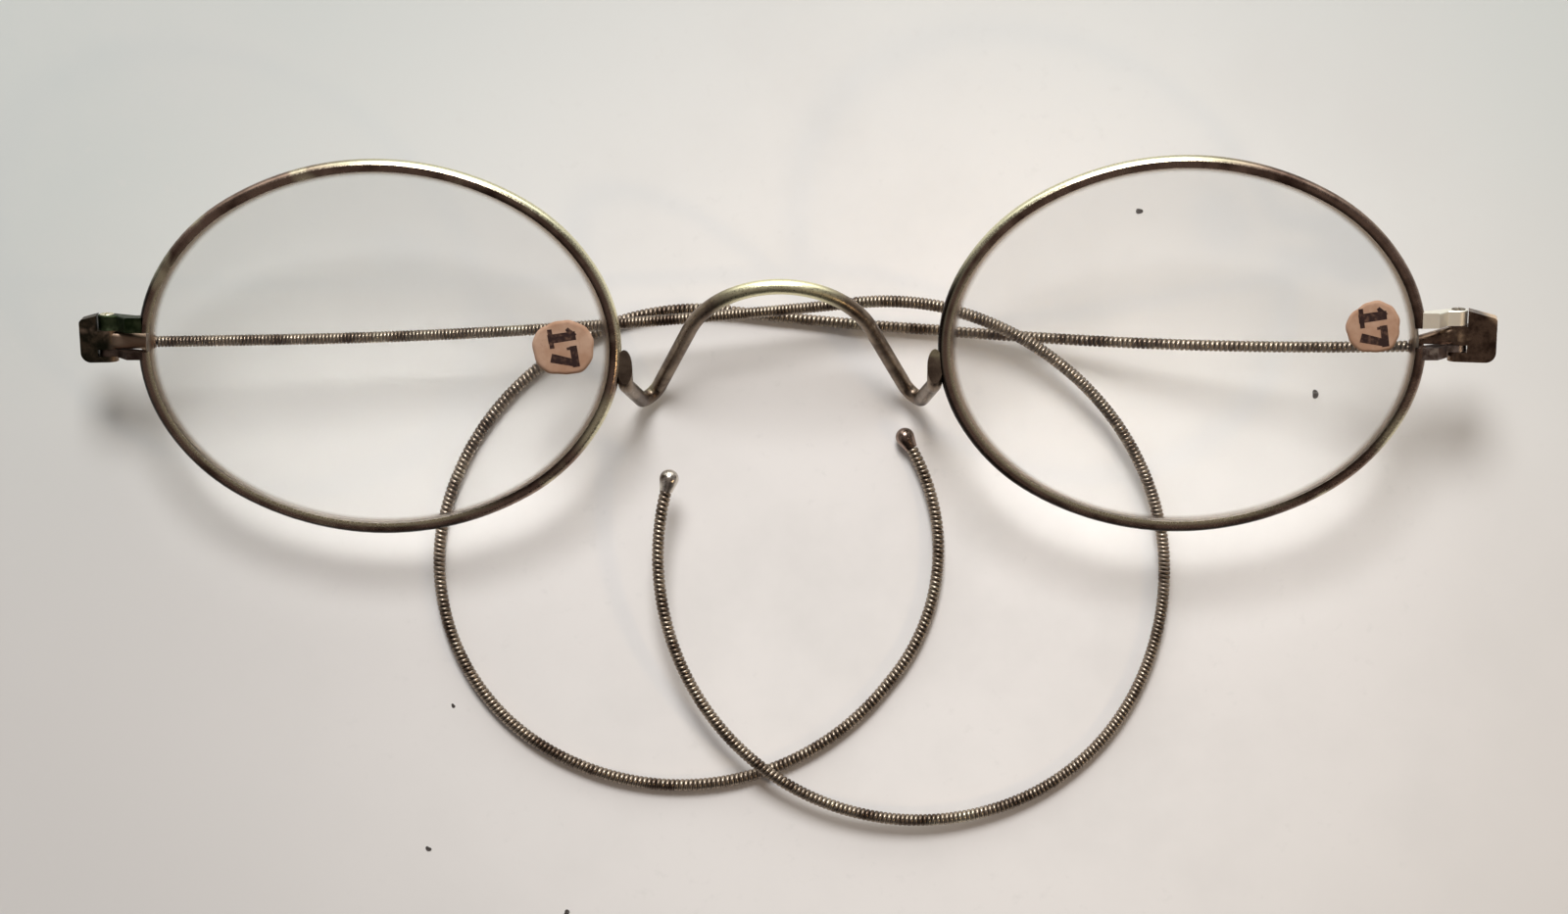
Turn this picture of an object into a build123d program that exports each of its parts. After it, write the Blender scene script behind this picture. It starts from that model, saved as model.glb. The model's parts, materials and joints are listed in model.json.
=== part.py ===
from build123d import *
import math
import os

# Wire spectacles with oval eyes, a saddle bridge and coil-wound riding-bow temples, lying face up
# with both temples folded under the front. Millimetres and degrees. +X runs across the front towards
# the wearer's left temple, +Y towards the brow edge, +Z up out of the table.

# Eyewires and lenses, drawn about each lens centre in the plane of the front
LENS_SPACING = 65.3
EYE_HALF_WIDTH = 19.3
EYE_HALF_HEIGHT = 15.1
EYE_END_RADIUS = 12.2
EYE_JOINS = (30.0, 60.0)
RIM_WIDTH = 0.95
RIM_DEPTH = 1.25
RIM_FLAT = 0.55
GROOVE_DEPTH = 0.36
GROOVE_WIDTH = 0.76
LENS_PLAY = 0.03
LENS_CURVE = 330.0
LENS_THICKNESS = 1.96

# How the front lies: brow edge and right-hand side raised off the table
STAND_HEIGHT = 9.3
BROW_PITCH = 13.5
SIDE_ROLL = 1.2
TABLE_TURN = 0.15

# Bridge, one drawn wire: foot, arm, crank, leg, crest and back again
BRIDGE_WIRE = 1.26
FOOT_MIDDLE = -1.55
FOOT_RAKE = 26.0
FOOT_LENGTH = 1.6
FOOT_FACE = 0.42
FOOT_SEAT = 0.33
FOOT_BEND = 1.0
CRANK_HALF_SPAN = 11.35
CRANK_DROP = 6.7
CRANK_SETBACK = 8.35
CRANK_BEND = 1.1
CREST_RISE = 5.0
LEG_ANGLE = 67.5

# Split end piece and its hinge, stacked along the screw: upper lug, eye, lower lug, lobe
HINGE_OUT = 3.2
HINGE_RISE = 0.6
HINGE_SETBACK = 1.2
KNUCKLE_RADIUS = 0.75
UPPER_LUG = 1.25
EYE_HEIGHT = 1.55
LOWER_LUG = 0.55
LOBE_HEIGHT = {"left": 0.45, "right": 0.78}
KNUCKLE_GAP = 0.03
LUG_STOP_LENGTH = 0.95
LUG_STEP = 1.35
LUG_ROOT = 0.45
LUG_BEAD = {"left": 0.08, "right": 0.45}
HEEL_THICKNESS = {"left": 1.4, "right": 2.3}
HEEL_GAP = 0.06
HEEL_SLOPE = 14.0
HEEL_TOP_ROUND = 0.35
HEEL_FOOT_ROUND = 0.85
EDGE_ROUND = 0.12
SCREW_RADIUS = 0.35
SCREW_HEAD_RADIUS = 0.58
SCREW_HEAD_HEIGHT = 0.36
SCREW_PROUD = 0.08
SCREW_SLOT = 0.16
THREAD_FIT = 0.01
PIVOT_FIT = 0.04

# Temples: butt, core wire, wound shank, wound curl and ball tip
NECK_LENGTH = 4.0
NECK_SECTION = (1.5, 1.3)
NECK_SHOULDER = 3.4
NECK_END = 1.0
NECK_LOWER = {"left": 0.2, "right": 0.83}
NECK_CLEAR = 2.75
SHANK_DIAMETER = 0.96
CURL_DIAMETER = 1.04
CORE_DIAMETER = 0.5
CORE_PLAY = 0.02
CORE_SOCKET = 1.2
TIP_DIAMETER = 1.6
TIP_LENGTH = 1.9

# Left temple, all in one plane that slopes down to the table (radius, turn)
LEFT_DROP = 3.3
LEFT_LEAN = 3.0
LEFT_HEADING = 1.32
LEFT_STRAIGHT = 10.75
LEFT_BOW = (560.0, 4.8)
LEFT_CURL = ((24.1, 53.0), (22.2, 71.0), (19.3, 42.0), (21.9, 65.0), (22.5, 59.0))

# Right temple, whose shank falls to the table and is bent level before its curl
RIGHT_DROP = 12.6
RIGHT_HEADING = 4.02
RIGHT_SHANK_RADIUS = 400.0
RIGHT_LEVEL_RADIUS = 60.0
RIGHT_TIP_LIFT = 1.02
RIGHT_BOW = (253.0, 3.1)
RIGHT_CURL = ((22.2, 31.9), (21.8, 55.4), (18.35, 68.5), (22.2, 82.1), (17.2, 69.0))

# Paper spots on the lens fronts: inset from the eye's end, height, size, corner round, turn
SPOT_THICKNESS = 0.1
SPOT_GLUE = 0.02
SPOT_LEFT = (4.3, 0.2, (4.9, 4.2), 1.2, 4.0)
SPOT_RIGHT = (4.0, 1.7, (4.3, 4.3), 1.9, 20.0)

FRONT_PLACE = Pos(0, 0, STAND_HEIGHT) * Rot(Z=TABLE_TURN) * Rot(Y=-SIDE_ROLL) * Rot(X=BROW_PITCH)
HINGE_REACH = EYE_HALF_WIDTH + HINGE_OUT
HINGE_U = LENS_SPACING / 2 + HINGE_REACH
STACK = UPPER_LUG + EYE_HEIGHT + LOWER_LUG + LOBE_HEIGHT["right"] + 3 * KNUCKLE_GAP
STACK_TOP = STACK / 2
UPPER_FOOT = STACK_TOP - UPPER_LUG
EYE_TOP = UPPER_FOOT - KNUCKLE_GAP
EYE_FOOT = EYE_TOP - EYE_HEIGHT
LOWER_TOP = EYE_FOOT - KNUCKLE_GAP
LOWER_FOOT = LOWER_TOP - LOWER_LUG
LOBE_TOP = LOWER_FOOT - KNUCKLE_GAP
LOBE_FOOT = {side: LOBE_TOP - height for side, height in LOBE_HEIGHT.items()}


def oval_centres():
    """Centres and radii of the three arcs that make a quarter of the eye's oval."""
    a, b = (math.radians(angle) for angle in EYE_JOINS)
    short = EYE_HALF_WIDTH - EYE_END_RADIUS
    # two linear conditions: the top arc is centred on the upright axis and ends at the half height
    k1, m1 = math.cos(b) - math.cos(a), -math.cos(b)
    c1 = -(short + EYE_END_RADIUS * math.cos(a))
    k2, m2 = math.sin(b) - math.sin(a), 1 - math.sin(b)
    c2 = EYE_HALF_HEIGHT - EYE_END_RADIUS * math.sin(a)
    det = k1 * m2 - k2 * m1
    middle = (c1 * m2 - c2 * m1) / det
    top = (k1 * c2 - k2 * c1) / det
    end_centre = Vector(short, 0)
    step = EYE_END_RADIUS - middle
    middle_centre = end_centre + Vector(math.cos(a), math.sin(a)) * step
    top_centre = Vector(0, EYE_HALF_HEIGHT - top)
    return (
        (end_centre, EYE_END_RADIUS),
        (middle_centre, middle),
        (top_centre, top),
    )


def oval(grow=0.0):
    """The eye's outline, larger all round by grow, as twelve tangent arcs."""
    a, b = EYE_JOINS
    spans = ((0.0, a), (a, b), (b, 90.0))
    quarter = []
    for (centre, radius), (start, end) in zip(oval_centres(), spans):
        points = []
        for angle in (start, (start + end) / 2, end):
            turn = math.radians(angle)
            points.append(
                centre + Vector(math.cos(turn), math.sin(turn)) * (radius + grow)
            )
        quarter.append(points)
    edges = []
    for sx, sy in ((1, 1), (-1, 1), (-1, -1), (1, -1)):
        arcs = quarter if sx * sy > 0 else quarter[::-1]
        for arc in arcs:
            ends = [Vector(p.X * sx, p.Y * sy) for p in arc]
            if sx * sy < 0:
                ends.reverse()
            edges.append(Edge.make_three_point_arc(*ends))
    return Wire(edges)


def rim_reach(height):
    """Distance from the lens centre to the rim's outer side at a height above it."""
    (centre, radius), *_ = oval_centres()
    return centre.X + math.sqrt((radius + RIM_WIDTH / 2) ** 2 - height**2)


def make_rim():
    """Grooved eyewire, still closed: flat sides, rounded back and a V for the lens edge."""
    half, deep = RIM_WIDTH / 2, RIM_DEPTH / 2
    shoulder = half - (RIM_WIDTH - RIM_FLAT)
    section = make_face(
        Polyline(
            (shoulder, -deep),
            (-half, -deep),
            (-half, -GROOVE_WIDTH / 2),
            (GROOVE_DEPTH - half, 0),
            (-half, GROOVE_WIDTH / 2),
            (-half, deep),
            (shoulder, deep),
        )
        + ThreePointArc((shoulder, deep), (half, 0), (shoulder, -deep))
    )
    start = Plane(origin=(EYE_HALF_WIDTH, 0, 0), x_dir=(1, 0, 0), z_dir=(0, -1, 0))
    return sweep(start * section, path=oval())


def split_rim(rim):
    """Opens the rim between the lugs, where the temple's neck comes through."""
    gap = Box(RIM_WIDTH * 4, UPPER_FOOT - LOWER_TOP, RIM_DEPTH * 2)
    middle = HINGE_RISE + (UPPER_FOOT + LOWER_TOP) / 2
    return rim - Pos(EYE_HALF_WIDTH, middle, 0) * gap


def curve_ball(radius):
    """Sphere for a lens face, its poles out at the side so that no seam crosses the lens."""
    return Rot(X=90) * Sphere(radius)


def make_lens():
    """Bi-convex lens with a bevelled edge that sits in the rim's groove."""
    edge = GROOVE_DEPTH - RIM_WIDTH / 2 - LENS_PLAY
    land = -RIM_WIDTH / 2 - LENS_PLAY
    bevel = GROOVE_WIDTH / 2 - LENS_PLAY
    slope = math.degrees(math.atan2(edge - land, bevel))
    ridge = extrude(make_face(oval(edge)), bevel, taper=slope)
    ridge += extrude(make_face(oval(edge)), -bevel, taper=slope)
    body = extrude(make_face(oval(land)), LENS_THICKNESS / 2, both=True)
    back_off = LENS_CURVE - LENS_THICKNESS / 2
    body &= Pos(0, 0, -back_off) * curve_ball(LENS_CURVE)
    body &= Pos(0, 0, back_off) * curve_ball(LENS_CURVE)
    return ridge + body


def make_spot(inset, height, size, corner, turn):
    """Round-cornered slip of paper, bent to the lens front that it is glued to."""
    outline = RectangleRounded(*size, corner)
    slip = Pos(EYE_HALF_WIDTH - inset, height) * Rot(Z=turn) * extrude(outline, LENS_THICKNESS)
    centre = Pos(0, 0, LENS_THICKNESS / 2 - LENS_CURVE)
    outside = curve_ball(LENS_CURVE + SPOT_GLUE + SPOT_THICKNESS)
    inside = curve_ball(LENS_CURVE + SPOT_GLUE)
    return slip & centre * outside - centre * inside


def make_bridge(rims):
    """One wire from foot to foot, its feet filed to seat on the nasal sides of the rims."""
    foot_u = LENS_SPACING / 2 - rim_reach(FOOT_MIDDLE) - FOOT_SEAT
    rake = FOOT_LENGTH * math.tan(math.radians(FOOT_RAKE))
    slope = math.atan2(CREST_RISE + CRANK_DROP, CRANK_SETBACK)
    crest_reach = math.hypot(CREST_RISE + CRANK_DROP, CRANK_SETBACK)
    apex_reach = CRANK_HALF_SPAN * math.tan(math.radians(LEG_ANGLE))
    apex = (
        0,
        apex_reach * math.sin(slope) - CRANK_DROP,
        apex_reach * math.cos(slope) - CRANK_SETBACK,
    )
    crest_bend = (apex_reach - crest_reach) / (
        1 / math.cos(math.radians(LEG_ANGLE)) - 1
    )
    right = [
        (foot_u, FOOT_MIDDLE + FOOT_LENGTH * 2, FOOT_FACE + rake * 2),
        (foot_u, FOOT_MIDDLE - FOOT_LENGTH, FOOT_FACE - rake),
        (CRANK_HALF_SPAN, -CRANK_DROP, -CRANK_SETBACK),
    ]
    left = [(-u, v, w) for u, v, w in reversed(right)]
    bends = [FOOT_BEND, CRANK_BEND, crest_bend, CRANK_BEND, FOOT_BEND]
    path = FilletPolyline(*right, apex, *left, radius=bends)
    wire = sweep(
        Plane(origin=path @ 0, z_dir=path % 0) * Circle(BRIDGE_WIRE / 2), path=path
    )
    above = (Align.CENTER, Align.CENTER, Align.MIN)
    filing = Box(BRIDGE_WIRE * 2, FOOT_LENGTH * 6, FOOT_LENGTH * 3, align=above)
    for end in (-1, 1):
        wire -= Pos(end * foot_u, FOOT_MIDDLE, FOOT_FACE) * filing
    for rim in rims:
        wire -= rim
    return wire


def lug_outline():
    """Plan of a lug, seen along the screw: rim root, stop face and rounded end on the axis."""
    root = EYE_HALF_WIDTH
    stop = HINGE_REACH - LUG_STOP_LENGTH
    front, back = KNUCKLE_RADIUS - HINGE_SETBACK, -KNUCKLE_RADIUS - HINGE_SETBACK
    outline = Polyline(
        (HINGE_REACH, back),
        (root + LUG_ROOT, -RIM_DEPTH / 2),
        (root, -RIM_DEPTH / 2),
        (root, RIM_DEPTH / 2),
        (stop - LUG_STEP + LUG_ROOT, RIM_DEPTH / 2),
        (stop, front),
        (HINGE_REACH, front),
    )
    end = ThreePointArc(
        (HINGE_REACH, front),
        (HINGE_REACH + KNUCKLE_RADIUS, -HINGE_SETBACK),
        (HINGE_REACH, back),
    )
    return make_face(outline + end)


def make_lug(foot, top, rim):
    """Half of the split end piece, soldered to one end of the rim and bored for the screw."""
    lift = Plane(origin=(0, HINGE_RISE + top, 0), x_dir=(1, 0, 0), z_dir=(0, -1, 0))
    # the sketch's second direction is +Z of the front when its normal is -Y
    lug = extrude(lift * lug_outline(), top - foot)
    if top > 0:
        crown = lug.edges().group_by(Axis.Y)[-1].filter_by(GeomType.LINE)
        shoulder = HINGE_REACH - LUG_STOP_LENGTH - LUG_STEP
        lug = fillet(crown.filter_by_position(Axis.X, shoulder, HINGE_REACH), EDGE_ROUND)
    screw_way = Cylinder(SCREW_RADIUS + THREAD_FIT, STACK * 2)
    below = (Align.CENTER, Align.CENTER, Align.MIN)
    sink = Cylinder(SCREW_HEAD_RADIUS + THREAD_FIT, STACK, align=below)
    screw_way += Pos(0, 0, STACK_TOP + SCREW_PROUD - SCREW_HEAD_HEIGHT) * sink
    upright = Plane(origin=(HINGE_REACH, HINGE_RISE, -HINGE_SETBACK), z_dir=(0, 1, 0))
    return lug - upright.location * screw_way - rim


def make_lower_lug(rim, thicker):
    """The lower half has a thicker bead at the rim, stepped up to clear the temple's lobe."""
    lug = make_lug(LOWER_FOOT, LOWER_TOP, rim)
    bead = make_lug(LOWER_FOOT - thicker, LOWER_FOOT, rim)
    clear = HINGE_REACH - KNUCKLE_RADIUS - HEEL_GAP * 2
    inward = (Align.MAX, Align.CENTER, Align.CENTER)
    keep = Box(HINGE_REACH, STACK * 2, STACK * 2, align=inward)
    return lug + (bead & Pos(clear, 0, 0) * keep)


def make_screw(lobe_foot):
    """Slotted screw, its head let into the upper lug, that closes the rim and carries the temple."""
    seat = STACK_TOP + SCREW_PROUD - SCREW_HEAD_HEIGHT
    length = seat - lobe_foot - KNUCKLE_GAP
    shank = Cylinder(SCREW_RADIUS, length, align=(Align.CENTER, Align.CENTER, Align.MAX))
    above = (Align.CENTER, Align.CENTER, Align.MIN)
    head = Cylinder(SCREW_HEAD_RADIUS, SCREW_HEAD_HEIGHT, align=above)
    head = fillet(head.edges().group_by(Axis.Z)[-1], SCREW_HEAD_HEIGHT / 3)
    slot = Box(SCREW_HEAD_RADIUS * 3, SCREW_SLOT, SCREW_SLOT)
    head -= Pos(0, 0, SCREW_HEAD_HEIGHT) * slot
    upright = Plane(origin=(HINGE_REACH, HINGE_RISE + seat, -HINGE_SETBACK), z_dir=(0, 1, 0))
    return upright.location * (shank + head)


def make_butt_block(thickness, lobe_foot):
    """Heel with the eye and the lobe that pivot on the screw. X along the neck, Z up the screw."""
    inner = KNUCKLE_RADIUS + HEEL_GAP
    outer = inner + thickness
    slope = thickness * math.tan(math.radians(HEEL_SLOPE))
    profile = FilletPolyline(
        (-inner, lobe_foot),
        (-outer, lobe_foot),
        (-outer, STACK_TOP - slope),
        (-inner, STACK_TOP),
        radius=[HEEL_FOOT_ROUND, HEEL_TOP_ROUND],
    )
    profile += Line((-inner, STACK_TOP), (-inner, lobe_foot))
    heel = extrude(Plane.XZ * make_face(profile), KNUCKLE_RADIUS, both=True)
    tongue = Circle(KNUCKLE_RADIUS) + Pos(-inner / 2 - EDGE_ROUND, 0) * Rectangle(
        inner + EDGE_ROUND * 2, KNUCKLE_RADIUS * 2
    )
    block = heel
    for foot, top in ((EYE_FOOT, EYE_TOP), (lobe_foot, LOBE_TOP)):
        block += Pos(0, 0, foot) * extrude(tongue, top - foot)
    bore = Cylinder(SCREW_RADIUS + PIVOT_FIT, STACK * 2)
    return block - bore


def route(start, heading, up, runs):
    """Edges of a wire that is bent in turn by each run, then the place and direction of its end.

    A run is ("straight", length), ("side", radius, turn) in the plane across up, positive to the
    left of the heading, or ("rise", radius, turn) in the plane that holds up.
    """
    edges = []
    for kind, size, *rest in runs:
        if kind == "straight":
            end = start + heading * size
            edges.append(Edge.make_line(start, end))
            start = end
            continue
        turn = rest[0]
        side = up.cross(heading).normalized()
        towards, pivot = (side, up) if kind == "side" else (up, side * -1)
        centre = start + towards * math.copysign(size, turn)
        spin = Axis((0, 0, 0), pivot)
        arm = start - centre
        middle = centre + arm.rotate(spin, turn / 2)
        end = centre + arm.rotate(spin, turn)
        edges.append(Edge.make_three_point_arc(start, middle, end))
        heading = heading.rotate(spin, turn)
        up = up.rotate(spin, turn)
        start = end
    return edges, start, heading


def wound(edges, outer, inner=0.0):
    """Wire drawn along its route, or the winding on it as a sleeve of the winding's thickness."""
    path = Wire(edges)
    ring = Circle(outer / 2)
    if inner:
        ring -= Circle(inner / 2)
    return sweep(Plane(origin=path @ 0, z_dir=path % 0) * ring, path=path)


def make_neck(hinge, axis, flat, heading, lower):
    """Forged neck: the eye's flat section goes over to a round that tapers to where the winding starts."""
    wide, deep = NECK_SECTION
    root_place = Plane(origin=hinge + flat * KNUCKLE_RADIUS / 2, x_dir=axis, z_dir=flat)
    root = root_place * RectangleRounded(wide, deep, wide / 4)
    line = hinge - axis * lower
    neck_end = line + heading * NECK_LENGTH
    shoulder = Plane(origin=line + heading * NECK_SHOULDER, x_dir=axis, z_dir=heading)
    neck = loft([root, shoulder * Circle(wide / 2)])
    taper_place = Plane(origin=line + heading * (NECK_SHOULDER + NECK_LENGTH) / 2, z_dir=heading)
    neck += taper_place.location * Cone(wide / 2, NECK_END / 2, NECK_LENGTH - NECK_SHOULDER)
    above = (Align.CENTER, Align.CENTER, Align.MIN)
    for height, side in ((EYE_TOP, 1), (EYE_FOOT, -1)):
        over = Plane(origin=hinge + axis * height, z_dir=axis * side).location
        neck -= over * Cylinder(NECK_CLEAR, STACK, align=above)
    pivot = Cylinder(SCREW_RADIUS + PIVOT_FIT, STACK * 2)
    neck -= Plane(origin=hinge, z_dir=axis).location * pivot
    return neck, neck_end


def make_tip(end, heading):
    """Ball tip on a flared neck, bored to take the end of the core wire."""
    ball, neck = TIP_DIAMETER / 2, CURL_DIAMETER / 2
    bore, depth = CORE_DIAMETER / 2 + CORE_PLAY, TIP_LENGTH / 2
    height = TIP_LENGTH - ball
    # the flare runs from the rim of the neck to where it is tangent to the ball
    turn = math.acos(ball / math.hypot(neck, height)) - math.atan2(height, neck)
    flare = (ball * math.cos(turn), height + ball * math.sin(turn))
    middle = (turn + math.pi / 2) / 2
    crown = (ball * math.cos(middle), height + ball * math.sin(middle))
    outline = Polyline((0, TIP_LENGTH), (0, depth), (bore, depth), (bore, 0), (neck, 0), flare)
    outline += ThreePointArc(flare, crown, (0, TIP_LENGTH))
    tip = revolve(Plane.XZ * make_face(outline), Axis.Z)
    return Plane(origin=end, z_dir=heading).location * tip


def hinge_point(side):
    """Where the screw's axis meets the middle of the hinge."""
    out = HINGE_U if side == "right" else -HINGE_U
    return (FRONT_PLACE * Pos(out, HINGE_RISE, -HINGE_SETBACK)).position


def make_temple(side, heading, up, shank_runs, curl_runs):
    """The five pieces of one temple, laid from its hinge along its own route."""
    hinge = hinge_point(side)
    axis = ((FRONT_PLACE * Pos(0, 1, 0)).position - FRONT_PLACE.position).normalized()
    flat = (heading - axis * heading.dot(axis)).normalized()
    neck, neck_end = make_neck(hinge, axis, flat, heading, NECK_LOWER[side])
    socket_start = neck_end - heading * CORE_SOCKET
    above = (Align.CENTER, Align.CENTER, Align.MIN)
    socket = Cylinder(CORE_DIAMETER / 2 + CORE_PLAY, CORE_SOCKET * 2, align=above)
    block = make_butt_block(HEEL_THICKNESS[side], LOBE_FOOT[side])
    block = Plane(origin=hinge, x_dir=flat, z_dir=axis).location * block
    butt = block + neck - Plane(origin=socket_start, z_dir=heading).location * socket

    edges, end, turned = route(neck_end, heading, up, shank_runs + curl_runs)
    shank, curl = edges[: len(shank_runs)], edges[len(shank_runs) :]
    core_end = end + turned * (TIP_LENGTH / 2 - CORE_PLAY)
    core = [Edge.make_line(socket_start + heading * CORE_PLAY, neck_end)]
    core += edges + [Edge.make_line(end, core_end)]
    hollow = CORE_DIAMETER + CORE_PLAY * 2
    return {
        "temple_butt": butt,
        "temple_core": wound(core, CORE_DIAMETER),
        "shank_winding": wound(shank, SHANK_DIAMETER, hollow),
        "curl_winding": wound(curl, CURL_DIAMETER, hollow),
        "temple_tip": make_tip(end, turned),
    }


def left_temple():
    """Left temple: its plane falls along the shank and leans towards the foot of the photo."""
    drop, lean = math.radians(LEFT_DROP), math.radians(LEFT_LEAN)
    up = Vector(math.tan(drop), -math.tan(lean), 1).normalized()
    along = Vector(1, 0, -math.tan(drop)).normalized()
    heading = along.rotate(Axis((0, 0, 0), up), LEFT_HEADING)
    shank = [("straight", LEFT_STRAIGHT), ("side", *LEFT_BOW)]
    curl = [("side", radius, -turn) for radius, turn in LEFT_CURL]
    return make_temple("left", heading, up, shank, curl)


def right_temple():
    """Right temple: the shank reaches the table, is bent level there and the curl lies flat."""
    drop, level = math.radians(RIGHT_DROP), math.radians(RIGHT_HEADING)
    level_heading = Vector(-math.cos(level), math.sin(level), 0)
    side = Vector(0, 0, 1).cross(level_heading)
    tilt = Axis((0, 0, 0), side)
    heading = level_heading.rotate(tilt, RIGHT_DROP)
    up = Vector(0, 0, 1).rotate(tilt, RIGHT_DROP)
    neck_fall = NECK_LOWER["right"] * math.sin(math.radians(BROW_PITCH))
    fall = hinge_point("right").Z - neck_fall - CURL_DIAMETER / 2
    fall -= RIGHT_LEVEL_RADIUS * (1 - math.cos(drop))
    reach = math.asin(fall / RIGHT_SHANK_RADIUS / math.sin(drop))
    bow = math.degrees(reach - NECK_LENGTH / RIGHT_SHANK_RADIUS)
    heading = heading.rotate(Axis((0, 0, 0), up), bow)
    shank = [
        ("side", RIGHT_SHANK_RADIUS, -bow),
        ("rise", RIGHT_LEVEL_RADIUS, RIGHT_DROP),
        ("side", RIGHT_BOW[0], -RIGHT_BOW[1]),
    ]
    curl = [("side", radius, turn) for radius, turn in RIGHT_CURL]
    curl.insert(-1, ("rise", RIGHT_LEVEL_RADIUS, RIGHT_TIP_LIFT))
    return make_temple("right", heading, up, shank, curl)


rim = make_rim()
rim_right = split_rim(rim)
lens = make_lens()
parts = {}
right_half = {
    "rim": rim_right,
    "endpiece_upper": make_lug(UPPER_FOOT, STACK_TOP, rim_right),
}
for name, piece in right_half.items():
    parts[name + "_right"] = Pos(LENS_SPACING / 2, 0, 0) * piece
    parts[name + "_left"] = Pos(-LENS_SPACING / 2, 0, 0) * mirror(piece, about=Plane.YZ)
for side, sign in (("left", -1), ("right", 1)):
    own = {
        "endpiece_lower": make_lower_lug(rim_right, LUG_BEAD[side]),
        "hinge_screw": make_screw(LOBE_FOOT[side]),
    }
    for name, piece in own.items():
        if side == "left":
            piece = mirror(piece, about=Plane.YZ)
        parts[f"{name}_{side}"] = Pos(sign * LENS_SPACING / 2, 0, 0) * piece
for side, sign, spot in (("left", -1, SPOT_LEFT), ("right", 1, SPOT_RIGHT)):
    eye = Pos(sign * LENS_SPACING / 2, 0, 0)
    parts["lens_" + side] = eye * lens
    parts["paper_spot_" + side] = eye * make_spot(*spot)
parts["bridge"] = make_bridge([parts["rim_left"], parts["rim_right"]])
parts = {name: FRONT_PLACE * piece for name, piece in parts.items()}
for side, pieces in (("left", left_temple()), ("right", right_temple())):
    for name, piece in pieces.items():
        parts[f"{name}_{side}"] = piece

# The origin is under the middle of the part, on the table
box = Compound(list(parts.values())).bounding_box()
centre = box.center()
ground = Pos(-centre.X, -centre.Y, -box.min.Z)
os.makedirs("parts", exist_ok=True)
for name, piece in parts.items():
    export_step(ground * piece, f"parts/{name}.step")
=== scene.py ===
import json
import math

import bpy
from mathutils import Euler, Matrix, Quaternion, Vector


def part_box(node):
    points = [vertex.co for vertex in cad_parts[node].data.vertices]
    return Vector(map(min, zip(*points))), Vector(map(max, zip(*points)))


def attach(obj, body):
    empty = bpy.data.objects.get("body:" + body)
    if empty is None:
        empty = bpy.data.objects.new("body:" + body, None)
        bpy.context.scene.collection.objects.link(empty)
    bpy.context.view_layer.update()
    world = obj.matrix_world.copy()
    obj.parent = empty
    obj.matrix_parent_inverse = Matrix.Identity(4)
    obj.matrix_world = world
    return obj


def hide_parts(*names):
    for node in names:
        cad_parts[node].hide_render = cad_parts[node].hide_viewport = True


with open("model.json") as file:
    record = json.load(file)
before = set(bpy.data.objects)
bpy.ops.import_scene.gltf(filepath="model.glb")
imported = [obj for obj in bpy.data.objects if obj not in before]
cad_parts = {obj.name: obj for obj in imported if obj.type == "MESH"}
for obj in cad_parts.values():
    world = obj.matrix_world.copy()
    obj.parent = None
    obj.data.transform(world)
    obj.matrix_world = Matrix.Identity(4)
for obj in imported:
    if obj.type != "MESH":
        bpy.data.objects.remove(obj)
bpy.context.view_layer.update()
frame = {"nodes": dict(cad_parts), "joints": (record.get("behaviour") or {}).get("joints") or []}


# ---- Viewpoint ----
# A hand-held camera looks straight down on the sheet from a quarter of a metre, with the brow edge of
# the spectacles towards the top of the picture.
MM = 0.001
VIEW_POINT = Vector((-0.13, 3.45, 250.0)) * MM
FOCAL_PIXELS = 3017.0
PICTURE_WIDTH = 1600.0
SENSOR_WIDTH = 36.0
NEAREST_SEEN = 5.0 * MM

scene = bpy.context.scene
scene.view_settings.view_transform = "Standard"
camera_data = bpy.data.cameras.new("viewpoint")
camera_data.sensor_width = SENSOR_WIDTH
camera_data.lens = FOCAL_PIXELS / PICTURE_WIDTH * SENSOR_WIDTH
camera_data.clip_start = NEAREST_SEEN
viewpoint = bpy.data.objects.new("viewpoint", camera_data)
viewpoint.location = VIEW_POINT
scene.collection.objects.link(viewpoint)
scene.camera = viewpoint


# ---- Eyewires ----
# Each eyewire is drawn nickel silver, bent to an oval and grooved inside for the lens. It has gone brown.
# Shade is painted dark on its outer side round its foot, and on its inner side along the glass at the
# right.
# Highlights are painted pale on its outer side towards the brow and nose and on its inner side at the foot,
# and glints are painted pale at two spots.
EYE_HALF_WIDTH = 19.3
EYE_HALF_HEIGHT = 15.1
BROW_PITCH = 13.5
SIDE_ROLL = -1.2
TABLE_TURN = 0.15
FRONT_TURN = Euler([math.radians(angle) for angle in (BROW_PITCH, SIDE_ROLL, TABLE_TURN)])
RIM_METAL = (0.3, 0.21, 0.165)
RIM_TARNISH = (0.11, 0.068, 0.052)
# pale colour of the rubbed places, of the painted highlights and of the painted glints
RIM_WORN_AND_HIGHLIGHT = (0.78, 0.74, 0.52)
RIM_ROUGH = (0.14, 0.32)
# near black: painted shade on the eyewires, and tarnish on the temple cores
GRIME_AND_SHADE = (0.012, 0.007, 0.005)

# where on its noise the tarnish starts and is full, and how far each falls as the tarnish spreads
TARNISH_START = 0.62
TARNISH_START_FALL = 0.4
TARNISH_FULL = 0.72
TARNISH_FULL_FALL = 0.1

# the rubbed places are wider than the blotches of tarnish, and the grain is finer
RUB_PER_BLOTCH = 0.45
RUB_RANGE = (0.58, 0.74)
GRAIN_PER_BLOTCH = 16.0
GRAIN_RANGE = (0.3, 0.7)
GRAIN_STRENGTH = 0.16
GRAIN_DEPTH = 0.04 * MM

# these reaches run from the middle of the eye, in shares of its half sizes
RIM_OUTER_REACH = (0.998, 1.014)
RIM_INNER_REACH = (0.975, 0.994)
RIM_FOOT_WAY = (-0.7, -0.7, 0.0)
RIM_FOOT_REACH = (0.1, 0.5)
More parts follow.
